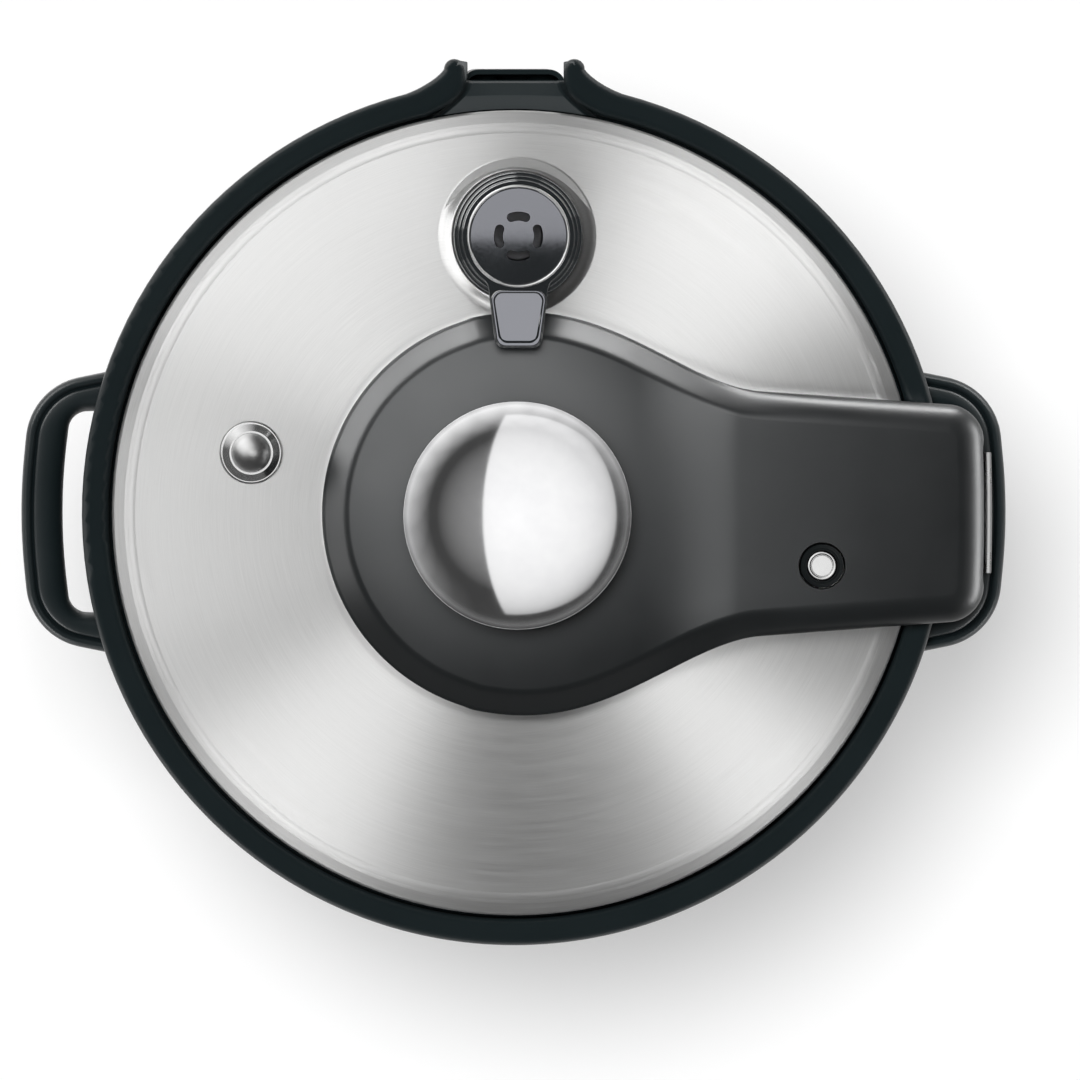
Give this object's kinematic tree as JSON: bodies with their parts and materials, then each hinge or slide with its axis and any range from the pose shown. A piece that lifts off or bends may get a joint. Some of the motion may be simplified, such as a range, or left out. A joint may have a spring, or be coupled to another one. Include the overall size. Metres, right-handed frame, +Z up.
{
  "type": "electric pressure cooker",
  "caption": "Round countertop pressure cooker with a steel lid on a side-hinged arm, a domed chrome lock knob, a steam valve, a float pin, a back spout and a pull-off drip cup.",
  "frame": {"origin": "centre of the foot ring's lower face, on the pot's axis, on the surface the cooker stands on", "axes": "+Z up along the pot's axis; +X to the lid's hinge; -Y to the control panel; +Y to the spout"},
  "size_m": [0.34, 0.3057, 0.3216],
  "materials": {
    "black_plastic": "fine matte grain",
    "grey_plastic": "soft matte",
    "gloss_grey": "polished",
    "gloss_black": "polished",
    "display_glass": "clear, smoked",
    "silver_plastic": "satin silver",
    "brushed_steel": "brushed",
    "plain_steel": "plain rolled",
    "chrome": "polished",
    "aluminium": "cast",
    "brass": "machined",
    "black_rubber": "matte",
    "silicone": "translucent matte",
    "lead_sleeve": "matte",
    "circuit_board": "solder mask",
    "transformer_iron": "lacquered"
  },
  "bodies": {
    "housing": {"foot_ring": "black_rubber", "base_moulding": "black_plastic", "base_plate": "black_plastic", "base_screws": "plain_steel", "body_wrap": "brushed_steel", "top_rim": "black_plastic", "left_handle": "black_plastic", "right_handle": "black_plastic", "handle_screws": "plain_steel", "liner": "plain_steel", "bayonet_ring": "plain_steel", "heating_plate": "aluminium", "heater_leads": "lead_sleeve", "thermal_fuse": "plain_steel", "sensor_cup": "plain_steel", "sensor_spring": "plain_steel", "inner_pot": "brushed_steel", "control_panel": "gloss_black", "display_window": "display_glass", "control_board": "circuit_board", "display_module": "gloss_black", "dial_encoder": "black_plastic", "power_board": "circuit_board", "transformer": "transformer_iron", "mains_relay": "gloss_black", "mains_inlet": "black_plastic", "cup_bracket": "black_plastic"},
    "hinge_mount": {"hinge_bracket": "plain_steel", "hinge_pin": "plain_steel"},
    "lid": {"lid_cover": "brushed_steel", "arm_cover": "grey_plastic", "arm_frame": "plain_steel", "frame_screws": "plain_steel", "pressure_lid": "plain_steel", "gasket": "silicone", "lid_posts": "plain_steel", "shaft_bush": "brass", "vent_pipe": "plain_steel", "vent_shield": "plain_steel", "valve_collar": "black_plastic", "safety_body": "chrome", "float_guide": "black_plastic"},
    "lock": {"lock_knob": "chrome", "knob_core": "black_plastic", "lock_shaft": "plain_steel", "lock_ring": "plain_steel"},
    "steam_cap": {"valve_cap": "gloss_grey", "valve_disc": "gloss_grey"},
    "steam_weight": {"valve_weight": "plain_steel"},
    "safety_plunger": {"safety_cap": "chrome"},
    "float": {"float_pin": "chrome", "float_seal": "silicone"},
    "sensor": {"sensor_plunger": "aluminium"},
    "dial": {"dial": "brushed_steel"},
    "keep_warm_key": {"keep_warm_button": "silver_plastic"},
    "steam_key": {"steam_button": "silver_plastic"},
    "start_key": {"start_button": "silver_plastic"},
    "cancel_key": {"cancel_button": "silver_plastic"},
    "cup": {"condensation_cup": "black_plastic"}
  },
  "joints": [
    {"name": "lid_lift_off", "type": "slide", "parent": "housing", "child": "hinge_mount", "axis": [0, 0, 1], "range_m": [0, 0.12]},
    {"name": "lid_hinge", "type": "hinge", "parent": "hinge_mount", "child": "lid", "pos_m": [0.1563, 0, 0.2588], "axis": [0, 1, 0], "range_deg": [0, 90]},
    {"name": "lock_turn", "type": "hinge", "parent": "lid", "child": "lock", "pos_m": [0, 0, 0.2846], "axis": [0, 0, 1], "range_deg": [-30, 0]},
    {"name": "steam_cap_turn", "type": "hinge", "parent": "lid", "child": "steam_cap", "pos_m": [0.0007, 0.0957, 0.2782], "axis": [0, 0, 1], "range_deg": [-40, 40]},
    {"name": "steam_weight_lift", "type": "slide", "parent": "lid", "child": "steam_weight", "axis": [0, 0, 1], "range_m": [0, 0.003]},
    {"name": "safety_lift", "type": "slide", "parent": "lid", "child": "safety_plunger", "axis": [0, 0, 1], "range_m": [0, 0.002]},
    {"name": "float_rise", "type": "slide", "parent": "lid", "child": "float", "axis": [0, 0, 1], "range_m": [0, 0.003]},
    {"name": "sensor_press", "type": "slide", "parent": "housing", "child": "sensor", "axis": [0, 0, 1], "range_m": [-0.002, 0], "stiffness_N_per_m": 800, "springref_m": 0.003, "deforming": ["sensor_spring"]},
    {"name": "dial_turn", "type": "hinge", "parent": "housing", "child": "dial", "pos_m": [0, -0.1434, 0.121], "axis": [0, -1, 0], "continuous": true},
    {"name": "keep_warm_press", "type": "slide", "parent": "housing", "child": "keep_warm_key", "axis": [0.4067, 0.9135, 0], "range_m": [0, 0.0008], "stiffness_N_per_m": 600},
    {"name": "steam_press", "type": "slide", "parent": "housing", "child": "steam_key", "axis": [-0.4067, 0.9135, 0], "range_m": [0, 0.0008], "stiffness_N_per_m": 600},
    {"name": "start_press", "type": "slide", "parent": "housing", "child": "start_key", "axis": [0.4067, 0.9135, 0], "range_m": [0, 0.0008], "stiffness_N_per_m": 600},
    {"name": "cancel_press", "type": "slide", "parent": "housing", "child": "cancel_key", "axis": [-0.4067, 0.9135, 0], "range_m": [0, 0.0008], "stiffness_N_per_m": 600},
    {"name": "cup_pull", "type": "slide", "parent": "housing", "child": "cup", "axis": [0, 1, 0], "range_m": [0, 0.06]}
  ]
}
